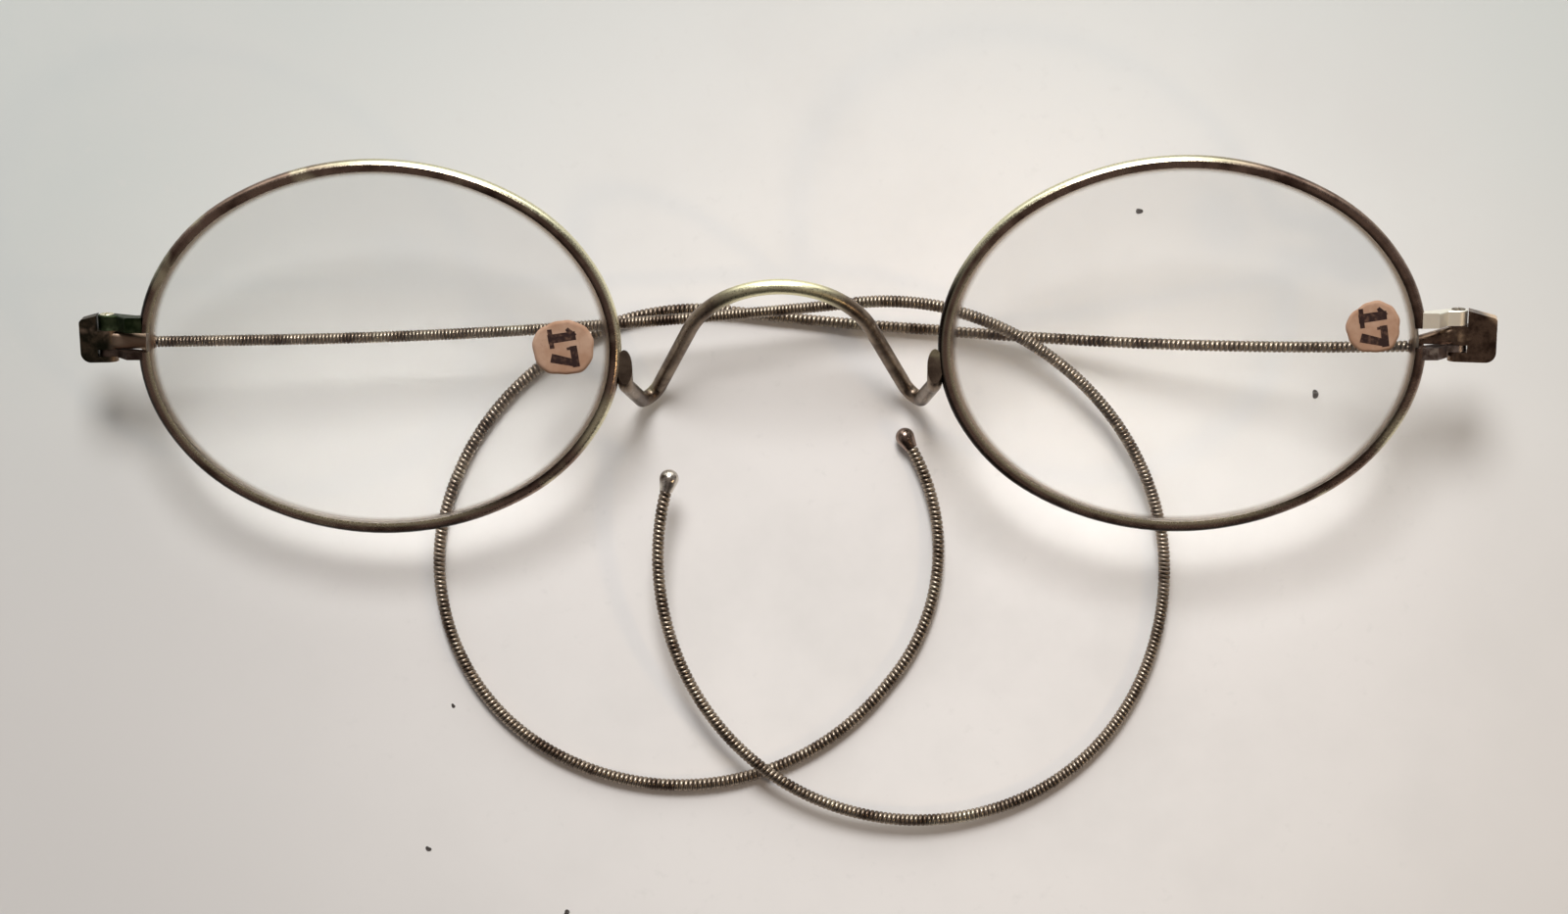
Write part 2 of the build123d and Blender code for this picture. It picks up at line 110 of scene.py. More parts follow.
# painted highlight on the inner side at the foot
RIM_FOOT_HIGHLIGHT = 0.9
# painted shade on the inner side along the glass at the right
RIM_GLASS_SHADE = 0.8
RIM_GLASS_SHADE_WAY = (1.0, 0.0, 0.0)
RIM_GLASS_SHADE_REACH = (0.2, 0.6)

# these reaches and spots are in millimetres on the front
# the painted highlight outside leans towards the nose, and painted glints sit at two spots
RIM_HIGHLIGHT_LEAN = 0.7
RIM_HIGHLIGHT_REACH = (9.0, 18.0)
RIM_GLINT_SPOTS = ((-14.8, -6.4, 0.0), (51.3, -8.0, 0.0))
RIM_GLINT_REACH = (1.0, 3.5)

nodes = frame["nodes"]
lens_middle = {side: sum(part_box(f"lens_{side}"), Vector()) / 2 for side in ("left", "right")}
front_middle = (lens_middle["left"] + lens_middle["right"]) / 2
half_spacing = (lens_middle["right"] - lens_middle["left"]).length / 2


def put(tree, kind, inputs=(), **settings):
    """Adds a shader node. An input is a number, a vector, a colour or the output of another node."""
    made = tree.nodes.new(kind)
    for name, value in settings.items():
        setattr(made, name, value)
    for socket, value in dict(inputs).items():
        if isinstance(value, bpy.types.NodeSocket):
            tree.links.new(value, made.inputs[socket])
        elif isinstance(value, tuple) and made.inputs[socket].type == "RGBA":
            made.inputs[socket].default_value = (*value, 1.0)
        else:
            made.inputs[socket].default_value = value
    return made


def place_on(tree):
    return put(tree, "ShaderNodeTexCoord").outputs["Object"]


def noise(tree, scale, detail=4.0, roughness=0.6):
    settings = {"Vector": place_on(tree), "Scale": scale, "Detail": detail, "Roughness": roughness}
    return put(tree, "ShaderNodeTexNoise", settings).outputs["Fac"]


def graded(tree, value, low, high, to_low=0.0, to_high=1.0):
    """Takes a value from one range to another, with soft ends."""
    settings = {"Value": value, "From Min": low, "From Max": high, "To Min": to_low, "To Max": to_high}
    return put(tree, "ShaderNodeMapRange", settings, interpolation_type="SMOOTHSTEP").outputs["Result"]


def mixed(tree, share, first, second):
    """A share of the second colour in the first. Sockets 6 and 7 are the colours, and 2 is the result."""
    return put(tree, "ShaderNodeMix", {0: share, 6: first, 7: second}, data_type="RGBA").outputs[2]


def sums(tree, operation, first, second=0.0):
    return put(tree, "ShaderNodeMath", {0: first, 1: second}, operation=operation).outputs[0]


def on_front(tree):
    """Where a point is on the front, in millimetres: across, towards the brow, out of its face."""
    turned_back = put(
        tree, "ShaderNodeMapping",
        {"Vector": place_on(tree), "Location": front_middle, "Rotation": FRONT_TURN, "Scale": (MM, MM, MM)},
        vector_type="TEXTURE",
    )
    return put(tree, "ShaderNodeSeparateXYZ", {0: turned_back.outputs[0]}).outputs


def eye_place(tree):
    """Where a point is in the nearer eye, in shares of its half sizes, and its reach from the middle.

    A reach of 1 is the centre line of the eyewire.
    """
    across, rise, _ = on_front(tree)
    to_middle = sums(tree, "MULTIPLY", sums(tree, "SIGN", across), half_spacing / MM)
    shares = {
        "X": sums(tree, "DIVIDE", sums(tree, "SUBTRACT", across, to_middle), EYE_HALF_WIDTH),
        "Y": sums(tree, "DIVIDE", rise, EYE_HALF_HEIGHT),
    }
    place = put(tree, "ShaderNodeCombineXYZ", shares).outputs[0]
    return place, put(tree, "ShaderNodeVectorMath", {0: place}, operation="LENGTH").outputs["Value"]


def towards(tree, place, way):
    return put(tree, "ShaderNodeVectorMath", {0: place, 1: way}, operation="DOT_PRODUCT").outputs["Value"]


def distance(tree, place, spot):
    return put(tree, "ShaderNodeVectorMath", {0: place, 1: spot}, operation="DISTANCE").outputs["Value"]


def worn_metal(
    name, metal, tarnish, pale_tone, spread=0.5, blotch=320.0, rough=(0.24, 0.46), painted_shade=None, wear_and_highlight=None
):
    """Old nickel silver: clean metal, tarnish in blotches, paler rubbed places, and painted shade and
    highlights.

    A wider spread lets the tarnish start sooner and end softer. Two optional functions of the node tree say
    where shade is painted dark, and where rubbing and painted highlights make the metal paler.
    """
    material = bpy.data.materials.new(name)
    material.use_nodes = True
    tree = material.node_tree
    shader = tree.nodes["Principled BSDF"]
    shader.inputs["Metallic"].default_value = 1.0
    cloudy = noise(tree, scale=blotch, detail=5.0)
    starts = TARNISH_START - spread * TARNISH_START_FALL
    blotches = graded(tree, cloudy, starts, TARNISH_FULL - spread * TARNISH_FULL_FALL)
    paler_share = graded(tree, noise(tree, scale=blotch * RUB_PER_BLOTCH, detail=3.0), *RUB_RANGE)
    grain = noise(tree, scale=blotch * GRAIN_PER_BLOTCH, roughness=0.7)
    colour = mixed(tree, blotches, metal, tarnish)
    # rubbed places and any painted highlights make the metal paler
    if wear_and_highlight:
        paler_share = sums(tree, "MAXIMUM", paler_share, wear_and_highlight(tree))
    colour = mixed(tree, paler_share, colour, pale_tone)
    # painted shade, where it is given, darkens the metal
    if painted_shade:
        colour = mixed(tree, painted_shade(tree), colour, GRIME_AND_SHADE)
    tree.links.new(colour, shader.inputs["Base Color"])
    tree.links.new(graded(tree, grain, *GRAIN_RANGE, *rough), shader.inputs["Roughness"])
    pits = {"Strength": GRAIN_STRENGTH, "Distance": GRAIN_DEPTH, "Height": grain}
    bump = put(tree, "ShaderNodeBump", pits)
    tree.links.new(bump.outputs["Normal"], shader.inputs["Normal"])
    return material


def dress(name, material):
    """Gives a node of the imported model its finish."""
    mesh = nodes[name].data
    mesh.materials.clear()
    mesh.materials.append(material)
    mesh.shade_smooth()


def rim_sides(tree):
    """The place in the eye, the eyewire's outer and inner sides, and its foot at the left."""
    place, reach = eye_place(tree)
    outer = graded(tree, reach, *RIM_OUTER_REACH)
    inner = graded(tree, reach, *RIM_INNER_REACH, 1.0, 0.0)
    return place, outer, inner, graded(tree, towards(tree, place, RIM_FOOT_WAY), *RIM_FOOT_REACH)


def rim_painted_shade(tree):
    """Painted shade on the outer side round the foot, and on the inner side along the glass at the right.
    """
    place, outer, inner, foot = rim_sides(tree)
    below = sums(tree, "MULTIPLY", outer, foot)
    rightward = graded(tree, towards(tree, place, RIM_GLASS_SHADE_WAY), *RIM_GLASS_SHADE_REACH)
    beside = sums(tree, "MULTIPLY", inner, rightward)
    return sums(tree, "MAXIMUM", below, sums(tree, "MULTIPLY", beside, RIM_GLASS_SHADE))


def rim_painted_highlight(tree):
    """Painted highlights outside towards the brow and nose and inside at the foot, and painted glints at
    two spots.
    """
    across, rise, _ = on_front(tree)
    _, outer, inner, foot = rim_sides(tree)
    aside = sums(tree, "SUBTRACT", sums(tree, "ABSOLUTE", across), half_spacing / MM)
    leaning = sums(tree, "SUBTRACT", rise, sums(tree, "MULTIPLY", aside, RIM_HIGHLIGHT_LEAN))
    browward = graded(tree, leaning, *RIM_HIGHLIGHT_REACH)
    paler_share = sums(tree, "MULTIPLY", outer, browward)
    below = sums(tree, "MULTIPLY", sums(tree, "MULTIPLY", inner, foot), RIM_FOOT_HIGHLIGHT)
    paler_share = sums(tree, "MAXIMUM", paler_share, below)
    here = put(tree, "ShaderNodeCombineXYZ", {"X": across, "Y": rise}).outputs[0]
    for spot in RIM_GLINT_SPOTS:
        at_spot = graded(tree, distance(tree, here, spot), *RIM_GLINT_REACH, 1.0, 0.0)
        paler_share = sums(tree, "MAXIMUM", paler_share, at_spot)
    return paler_share


eyewire_metal = worn_metal(
    "eyewire_metal", RIM_METAL, RIM_TARNISH, RIM_WORN_AND_HIGHLIGHT, rough=RIM_ROUGH, painted_shade=rim_painted_shade, wear_and_highlight=rim_painted_highlight
)
for side in ("left", "right"):
    dress(f"rim_{side}", eyewire_metal)


# ---- Lenses ----
# Thin bi-convex glass, ground to the oval with a bevelled edge that sits in the eyewire's groove. It is
# clear, so the sheet and the folded temples show through, and it is darker brown along its edge.
GLASS_TINT = (0.9, 0.9, 0.895)
GLASS_SHADE = (0.88, 0.88, 0.875)
GLASS_INDEX = 1.5
SMEAR_ROUGHNESS = 0.05
# darker brown along the lens's edge
EDGE_BROWN = (0.3, 0.235, 0.18)
EDGE_REACH = (0.938, 0.968)
EDGE_ROUGHNESS = 0.3

lens_glass = bpy.data.materials.new("lens_glass")
lens_glass.use_nodes = True
tree = lens_glass.node_tree
glass = tree.nodes["Principled BSDF"]
glass.inputs["Transmission Weight"].default_value = 1.0
glass.inputs["IOR"].default_value = GLASS_INDEX
edge = graded(tree, eye_place(tree)[1], *EDGE_REACH)
tree.links.new(mixed(tree, edge, GLASS_TINT, EDGE_BROWN), glass.inputs["Base Color"])
smears = graded(tree, noise(tree, scale=90.0, detail=6.0), low=0.45, high=0.8, to_high=SMEAR_ROUGHNESS)
dull = sums(tree, "ADD", smears, sums(tree, "MULTIPLY", edge, EDGE_ROUGHNESS))
tree.links.new(dull, glass.inputs["Roughness"])
let_through = put(tree, "ShaderNodeBsdfTransparent", {"Color": GLASS_SHADE})
shadow_ray = put(tree, "ShaderNodeLightPath").outputs["Is Shadow Ray"]
shaders = {0: shadow_ray, 1: glass.outputs[0], 2: let_through.outputs[0]}
for_lamps = put(tree, "ShaderNodeMixShader", shaders)
tree.links.new(for_lamps.outputs[0], tree.nodes["Material Output"].inputs["Surface"])
for side in ("left", "right"):
    dress(f"lens_{side}", lens_glass)


# ---- Bridge ----
# One drawn wire, thicker than the eyewires, bent by hand and soldered to them at its filed feet. A painted
# highlight keeps the crest bright and yellowish, while its legs and cranks have gone brown.
BRIDGE_METAL = (0.26, 0.205, 0.155)
BRIDGE_TARNISH = (0.11, 0.078, 0.058)
BRIDGE_WORN_AND_HIGHLIGHT = (0.82, 0.78, 0.52)
# where the crest's painted highlight fades out, in millimetres from the middle
CREST_REACH = (2.5, 6.0)


def crest_painted_highlight(tree):
    """The painted highlight on the crest, which fades out over some millimetres to each side of its middle.
    """
    return graded(tree, sums(tree, "ABSOLUTE", on_front(tree)[0]), *CREST_REACH, 1.0, 0.0)


dress("bridge", worn_metal(
    "bridge_metal", BRIDGE_METAL, BRIDGE_TARNISH, BRIDGE_WORN_AND_HIGHLIGHT, spread=0.6, blotch=420.0, wear_and_highlight=crest_painted_highlight
))


# ---- End pieces and hinges ----
# The eyewire is cut at its outer side. A lug on each cut end takes the screw that closes the eyewire
# round its lens and carries the temple's eye. The left hinge is nearly black, with green corrosion.

# the colours of clean metal, tarnish and rubbed places, and how far the tarnish has spread
HINGE_FINISHES = {
    # the upper right lug's near-white colours are a painted highlight
    "endpiece_upper_right": ((0.95, 0.93, 0.84), (0.6, 0.55, 0.45), (0.98, 0.97, 0.92), 0.1),
    "endpiece_lower_right": ((0.3, 0.26, 0.255), (0.1, 0.075, 0.065), (0.6, 0.56, 0.52), 0.5),
    # the right heel's pale colour also fills its painted highlight band
    "temple_butt_right": ((0.2, 0.135, 0.095), (0.07, 0.042, 0.03), (0.95, 0.7, 0.46), 0.5),
    "hinge_screw_right": ((0.36, 0.3, 0.22), (0.12, 0.09, 0.06), (0.7, 0.62, 0.5), 0.6),
    "endpiece_upper_left": ((0.07, 0.09, 0.045), (0.015, 0.025, 0.01), (0.2, 0.27, 0.15), 0.8),
    "endpiece_lower_left": ((0.14, 0.1, 0.08), (0.04, 0.025, 0.02), (0.3, 0.24, 0.19), 0.7),
    "temple_butt_left": ((0.08, 0.06, 0.04), (0.016, 0.016, 0.01), (0.36, 0.26, 0.19), 0.7),
    "hinge_screw_left": ((0.72, 0.68, 0.52), (0.3, 0.26, 0.16), (0.8, 0.76, 0.6), 0.3),
}
FINE_BLOTCH = 900.0
HINGE_ROUGH = {"left": (0.34, 0.6), "right": (0.24, 0.42)}
LUG_ROUGH = (0.4, 0.6)

# where the heel's painted highlight band and the neck's cleaner part lie, in millimetres on the front
BAND_WAY = (0.652, 0.758, 0.0)
BAND_FROM_MIDDLE = 39.64
BAND_SOFTNESS = (0.15, 0.75)
NECK_FROM_MIDDLE = (54.2, 55.2)
NECK_RUB = 0.8


def heel_painted_highlight(tree):
    """A painted highlight band runs slantwise over the right heel."""
    across, rise, _ = on_front(tree)
    here = put(tree, "ShaderNodeCombineXYZ", {"X": across, "Y": rise}).outputs[0]
    from_band = sums(tree, "SUBTRACT", towards(tree, here, BAND_WAY), BAND_FROM_MIDDLE)
    return graded(tree, sums(tree, "ABSOLUTE", from_band), *BAND_SOFTNESS, 1.0, 0.0)


def neck_rub(tree):
    """The left neck is cleaner than its heel."""
    return graded(tree, sums(tree, "ABSOLUTE", on_front(tree)[0]), *NECK_FROM_MIDDLE, NECK_RUB, 0.0)


for name, (metal, tarnish, pale_tone, spread) in HINGE_FINISHES.items():
    rough = LUG_ROUGH if name == "endpiece_upper_right" else HINGE_ROUGH[name.rsplit("_", 1)[1]]
    wear_and_highlight = {"temple_butt_right": heel_painted_highlight, "temple_butt_left": neck_rub}.get(name)
    dress(name, worn_metal(
        f"{name}_metal", metal, tarnish, pale_tone, spread=spread, blotch=FINE_BLOTCH, rough=rough, wear_and_highlight=wear_and_highlight
    ))


# ---- Temples ----
# A temple is a springy core wire wound with fine wire from its forged neck to its ball tip, in a
# single close layer. The turns show as beads with dark gaps between, wider on the curl.
NECK_LENGTH = 4.0 * MM
NECK_LOWER = {"left": 0.2 * MM, "right": 0.83 * MM}
SHANK_DIAMETER = 0.96 * MM
CURL_DIAMETER = 1.04 * MM

# how a temple leaves its neck, in degrees: falling to the sheet, leaning and heading aside; a bow is one
# arc and a curl is several, each with its radius in millimetres and its turn in degrees
LEFT_DROP = 3.3
LEFT_LEAN = 3.0
LEFT_HEADING = 1.32
LEFT_STRAIGHT = 10.75
LEFT_BOW = (560.0, 4.8)
LEFT_CURL = ((24.1, 53.0), (22.2, 71.0), (19.3, 42.0), (21.9, 65.0), (22.5, 59.0))
RIGHT_DROP = 12.6
RIGHT_HEADING = 4.02
RIGHT_SHANK_BOW = (400.0, 4.206)
RIGHT_LEVEL_RADIUS = 60.0
RIGHT_TIP_LIFT = 1.02
RIGHT_BOW = (253.0, 3.1)
RIGHT_CURL = ((22.2, 31.9), (21.8, 55.4), (18.35, 68.5), (22.2, 82.1), (17.2, 69.0))

# pitch of the winding in millimetres, where a shank or a curl starts and where it ends
SHANK_PITCH = {"left": (0.29, 0.3), "right": (0.4, 0.38)}
CURL_PITCH = {"left": (0.32, 0.41), "right": (0.38, 0.4)}

# the wire's width is a share of its pitch, and its thickness is a share of that width
WIRE_SHARE = 0.97
WIRE_FLATNESS = 0.6
WINDING_INSET = 0.004 * MM
STEPS_PER_TURN = 12
WIRE_SIDES = 7

WINDING_METAL = (0.34, 0.28, 0.22)
WINDING_TARNISH = (0.1, 0.07, 0.052)
WINDING_WORN = (0.5, 0.45, 0.35)
CORE_METAL = (0.06, 0.045, 0.038)

winding_metal = worn_metal("winding_metal", WINDING_METAL, WINDING_TARNISH, WINDING_WORN, blotch=500.0)
core_metal = worn_metal("core_metal", CORE_METAL, GRIME_AND_SHADE, WINDING_TARNISH, spread=0.7)
hinges = {joint["child"]: joint for joint in frame["joints"]}


def turned(vector, pivot, degrees):
    return Quaternion(pivot, math.radians(degrees)) @ vector


def lay_route(start, heading, up, runs):
    """The stretches of a bent wire: a length and a function from travel to place, heading and up.

    A run is straight, or bends to the side or upwards. Its size is a length or a radius in millimetres.
    """
    stretches = []
    for kind, size, *rest in runs:
        if kind == "straight":
            length = size * MM

            def follow(travel, start=start, heading=heading, up=up):
                return start + heading * travel, heading, up

        else:
            radius, turn = size * MM, rest[0]
            side = up.cross(heading).normalized()
            inward, pivot = (side, up) if kind == "side" else (up, side * -1)
            centre = start + inward * math.copysign(radius, turn)
            length = radius * math.radians(abs(turn))

            def follow(travel, start=start, heading=heading, up=up, centre=centre, pivot=pivot,
                       rate=math.copysign(math.degrees(1 / radius), turn)):
                angle = travel * rate
                place = centre + turned(start - centre, pivot, angle)
                return place, turned(heading, pivot, angle), turned(up, pivot, angle)

        stretches.append((length, follow))
        start, heading, up = follow(length)
    return stretches


def wind(part, side, stretches, diameter, pitch):
    """Fine wire wound left-handed on a route: a flattened tube that spirals about it.

    The pitch goes evenly from its first value to its last.
    """
    total = sum(length for length, _ in stretches)
    places, rings = [], []
    laid, turns, step = 0.0, 0.0, 1.0 / STEPS_PER_TURN
    while laid < total:
        pitch_here = (pitch[0] + (pitch[1] - pitch[0]) * laid / total) * MM
        along = laid
        for length, follow in stretches:
            if along <= length:
                break
            along -= length
        middle, heading, up = follow(min(along, length))
        radial = turned(up, heading, -360.0 * turns)
        half_wide = pitch_here * WIRE_SHARE / 2
        centre = middle + radial * (diameter / 2 - half_wide * WIRE_FLATNESS - WINDING_INSET)
        ring = []
        for corner in range(WIRE_SIDES):
            angle = math.tau * corner / WIRE_SIDES
            ring.append(len(places))
            section = radial * math.cos(angle) * WIRE_FLATNESS + heading * math.sin(angle)
            places.append(centre + section * half_wide)
        rings.append(ring)
        turns += step
        laid += pitch_here * step
    faces = [rings[0], rings[-1][::-1]]
    for first, second in zip(rings, rings[1:]):
        for corner in range(WIRE_SIDES):
            after = (corner + 1) % WIRE_SIDES
            faces.append((second[corner], second[after], first[after], first[corner]))
    mesh = bpy.data.meshes.new(f"{part}_turns_{side}")
    mesh.from_pydata(places, [], faces)
    mesh.shade_smooth()
    mesh.materials.append(winding_metal)
    piece = bpy.data.objects.new(f"{part}_turns_{side}", mesh)
    scene.collection.objects.link(piece)
    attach(piece, f"temple_{side}")
    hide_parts(f"{part}_winding_{side}")


def neck_end(side, heading):
    """Where a temple's winding starts, at the end of its forged neck."""
    hinge = hinges[f"temple_{side}"]
    axis = Vector(hinge["axis"]).normalized()
    axis *= math.copysign(1.0, axis.y)
    return Vector(hinge["pos_m"]) - axis * NECK_LOWER[side] + heading * NECK_LENGTH


left_up = Vector((math.tan(math.radians(LEFT_DROP)), -math.tan(math.radians(LEFT_LEAN)), 1)).normalized()
left_along = Vector((1, 0, -math.tan(math.radians(LEFT_DROP)))).normalized()
left_heading = turned(left_along, left_up, LEFT_HEADING)
left_shank = [("straight", LEFT_STRAIGHT), ("side", *LEFT_BOW)]
left_curl = [("side", radius, -turn) for radius, turn in LEFT_CURL]

level = math.radians(RIGHT_HEADING)
straight_up = Vector((0, 0, 1))
right_level = Vector((-math.cos(level), math.sin(level), 0))
right_side = straight_up.cross(right_level)
right_up = turned(straight_up, right_side, RIGHT_DROP)
right_heading = turned(turned(right_level, right_side, RIGHT_DROP), right_up, RIGHT_SHANK_BOW[1])
right_shank = [
    ("side", RIGHT_SHANK_BOW[0], -RIGHT_SHANK_BOW[1]),
    ("rise", RIGHT_LEVEL_RADIUS, RIGHT_DROP),
    ("side", RIGHT_BOW[0], -RIGHT_BOW[1]),
]
right_curl = [("side", radius, turn) for radius, turn in RIGHT_CURL]
right_curl.insert(-1, ("rise", RIGHT_LEVEL_RADIUS, RIGHT_TIP_LIFT))

for side, heading, up, shank, curl in (
    ("left", left_heading, left_up, left_shank, left_curl),
    ("right", right_heading, right_up, right_shank, right_curl),
):
    route = lay_route(neck_end(side, heading), heading, up, shank + curl)
    wind("shank", side, route[: len(shank)], SHANK_DIAMETER, SHANK_PITCH[side])
    wind("curl", side, route[len(shank):], CURL_DIAMETER, CURL_PITCH[side])
    dress(f"temple_core_{side}", core_metal)


# ---- Ball tips ----
# A turned bead of nickel silver closes the winding at the end of each curl and keeps the cut wire off the
# ear. Its crown is polished by wear.
TIP_METAL = {"left": (0.66, 0.61, 0.54), "right": (0.3, 0.22, 0.18)}
TIP_ROUGH = (0.14, 0.3)

for side, metal in TIP_METAL.items():
    dress(f"temple_tip_{side}", worn_metal(
        f"ball_metal_{side}", metal, WINDING_TARNISH, BRIDGE_WORN_AND_HIGHLIGHT,
        spread=0.45, blotch=FINE_BLOTCH, rough=TIP_ROUGH,
    ))


# ---- Paper spots ----
# A slip of pinkish tan paper is glued to the front of each lens. Its edge is torn and scuffed. A plain
# number is stamped on it in dark ink, with the top of the figures towards the right.

# lengths and heights in millimetres over the front face of the lens
LENS_CURVE = 330.0
LENS_THICKNESS = 1.96
SLIP_BACK = 0.02
SLIP_FRONT = 0.12
SLIP_WORN_EDGE = 0.03
SLIP_RINGS = 8
SLIP_BACK_RING = 0.5
SLIP_SIDES = 120
SLIP_LIFT = 0.02
SLIP_LIFT_POWER = 6

# place on the lens, size, squareness of the outline, depth of its three waves, and turn in degrees
SLIPS = {
    "left": {
        "place": (15.1, 0.15), "size": (4.95, 4.45), "square": 2.35,
        "torn": (0.012, 0.016, 0.01), "turn": 3.0,
    },
    "right": {
        "place": (15.35, 1.6), "size": (4.35, 4.2), "square": 2.15,
        "torn": (0.03, 0.02, 0.014), "turn": 8.0,
    },
}
WAVE_COUNTS = (3, 5, 11)
PAPER = (0.43, 0.25, 0.16)
PAPER_FADED = (0.55, 0.36, 0.255)
PAPER_EDGE = (0.36, 0.2, 0.13)
FELT_DEPTH = 0.03 * MM
INK = (0.03, 0.013, 0.011)
INK_LIFT = 0.008
INK_THICKNESS = 0.006
FIGURE_HEIGHT = 2.1
FIGURE_STEP = 1.75
FIGURE_SLANT = 8.0

# strokes of the figures 1 and 7, each from one place to another with its two widths, height 1
STROKES = {
    "one": (
        ((0.5, 0.0), (0.5, 1.0), 0.36, 0.34),
        ((0.16, 0.07), (0.84, 0.07), 0.18, 0.18),
        ((0.22, 0.76), (0.5, 0.96), 0.14, 0.26),
    ),
    "seven": (
        ((0.1, 0.88), (0.86, 0.88), 0.28, 0.28),
        ((0.76, 0.9), (0.42, 0.0), 0.28, 0.36),
        ((0.14, 0.98), (0.14, 0.66), 0.16, 0.1),
    ),
}
FIGURE_MIDDLE = 0.5
STROKE_OVERRUN = 0.04
STROKE_FACES = ((4, 5, 6, 7), (3, 2, 1, 0), (0, 1, 5, 4), (1, 2, 6, 5), (2, 3, 7, 6), (3, 0, 4, 7))

spot_paper = bpy.data.materials.new("spot_paper")
spot_paper.use_nodes = True
tree = spot_paper.node_tree
paper = tree.nodes["Principled BSDF"]
paper.inputs["Roughness"].default_value = 0.85
paper.inputs["Specular IOR Level"].default_value = 0.25
stains = graded(tree, noise(tree, scale=420.0, detail=3.0), low=0.35, high=0.7)
fibres = noise(tree, scale=2600.0, detail=6.0, roughness=0.75)
shade = mixed(tree, stains, PAPER, PAPER_FADED)
scuffs = graded(tree, fibres, low=0.52, high=0.72, to_high=0.45)
tree.links.new(mixed(tree, scuffs, shade, PAPER_EDGE), paper.inputs["Base Color"])
felt = put(tree, "ShaderNodeBump", {"Strength": 0.5, "Distance": FELT_DEPTH, "Height": fibres})
tree.links.new(felt.outputs["Normal"], paper.inputs["Normal"])

stamp_ink = bpy.data.materials.new("stamp_ink")
stamp_ink.use_nodes = True
tree = stamp_ink.node_tree
ink = tree.nodes["Principled BSDF"]
ink.inputs["Roughness"].default_value = 0.7
ink.inputs["Specular IOR Level"].default_value = 0.3
soaked = graded(tree, noise(tree, scale=2200.0), low=0.45, high=0.75, to_high=0.35)
tree.links.new(mixed(tree, soaked, INK, PAPER_EDGE), ink.inputs["Base Color"])


def on_lens(side, across, rise, lift):
    """A place over a lens's front face, from millimetres about the lens's middle."""
    face = math.sqrt(LENS_CURVE**2 - across**2 - rise**2) - LENS_CURVE + LENS_THICKNESS / 2
    offset = Vector((across, rise, face + lift)) * MM
    offset.rotate(FRONT_TURN)
    return lens_middle[side] + offset


def flat_piece(name, places, faces, material):
    mesh = bpy.data.meshes.new(name)
    mesh.from_pydata(places, [], faces)
    mesh.materials.append(material)
    piece = bpy.data.objects.new(name, mesh)
    scene.collection.objects.link(piece)
    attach(piece, "front")
    return piece


def slip_reach(angle, size, square, torn):
    """How far a slip's edge is from its middle: between an ellipse and a rectangle, then torn in waves."""
    aside = abs(math.cos(angle) / (size[0] / 2)) ** square
    upward = abs(math.sin(angle) / (size[1] / 2)) ** square
    waves = sum(depth * math.cos(count * angle + count) for depth, count in zip(torn, WAVE_COUNTS))
    return (aside + upward) ** (-1 / square) * (1 + waves)


def tear_slip(side, place, size, square, torn, turn):
    """A slip of paper with an uneven edge, laid on the curve of the lens, its rim lifting a little."""
    places, faces = [], []
    heights = [(step / SLIP_RINGS, SLIP_FRONT) for step in range(1, SLIP_RINGS + 1)]
    heights[-1] = (1.0, SLIP_FRONT - SLIP_WORN_EDGE)
    heights += [(1.0, SLIP_BACK), (SLIP_BACK_RING, SLIP_BACK)]
    places.append(on_lens(side, *place, SLIP_FRONT))
    for share, height in heights:
        for step in range(SLIP_SIDES):
            angle = math.tau * step / SLIP_SIDES
            radius = slip_reach(angle, size, square, torn) * share
            across = place[0] + radius * math.cos(angle + math.radians(turn))
            rise = place[1] + radius * math.sin(angle + math.radians(turn))
            lift = SLIP_LIFT * share**SLIP_LIFT_POWER * math.cos(2 * angle + turn)
            places.append(on_lens(side, across, rise, height + (lift if height > SLIP_BACK else 0.0)))
    places.append(on_lens(side, *place, SLIP_BACK))
    for step in range(SLIP_SIDES):
        after = (step + 1) % SLIP_SIDES
        faces.append((0, 1 + step, 1 + after))
        for ring in range(len(heights) - 1):
            first = 1 + ring * SLIP_SIDES
            second = first + SLIP_SIDES
            faces.append((first + step, second + step, second + after, first + after))
        last = 1 + (len(heights) - 1) * SLIP_SIDES
        faces.append((last + step, len(places) - 1, last + after))
    slip = flat_piece(f"paper_slip_{side}", places, faces, spot_paper)
    slip.data.shade_smooth()
    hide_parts(f"paper_spot_{side}")


def stroke_corners(start, end, start_width, end_width):
    """The four corners of a stroke that runs a little past both of its ends."""
    along = (Vector(end) - Vector(start)).normalized()
    beside = Vector((-along.y, along.x))
    corners = []
    for middle, width, onward in ((start, start_width, -1), (end, end_width, 1)):
        for way in (-onward, onward):
            corners.append(Vector(middle) + beside * width / 2 * way + along * STROKE_OVERRUN * onward)
    return corners


def stamp_figures(side, place):
    """The number's strokes, drawn on their side and just thick enough to lie on the paper."""
    slant = math.radians(FIGURE_SLANT)
    places, faces = [], []
    for row, figure in ((0.5, "one"), (-0.5, "seven")):
        for stroke in STROKES[figure]:
            first = len(places)
            for lift in (INK_LIFT, INK_LIFT + INK_THICKNESS):
                for corner in stroke_corners(*stroke):
                    upward = (corner.y - FIGURE_MIDDLE) * FIGURE_HEIGHT
                    sideways = row * FIGURE_STEP - (corner.x - FIGURE_MIDDLE) * FIGURE_HEIGHT
                    across = place[0] + upward * math.cos(slant) - sideways * math.sin(slant)
                    rise = place[1] + upward * math.sin(slant) + sideways * math.cos(slant)
                    places.append(on_lens(side, across, rise, SLIP_FRONT + lift))
            faces += [tuple(first + index for index in face) for face in STROKE_FACES]
    flat_piece(f"stamped_number_{side}", places, faces, stamp_ink)


for side, slip in SLIPS.items():
    tear_slip(side, **slip)
    stamp_figures(side, slip["place"])


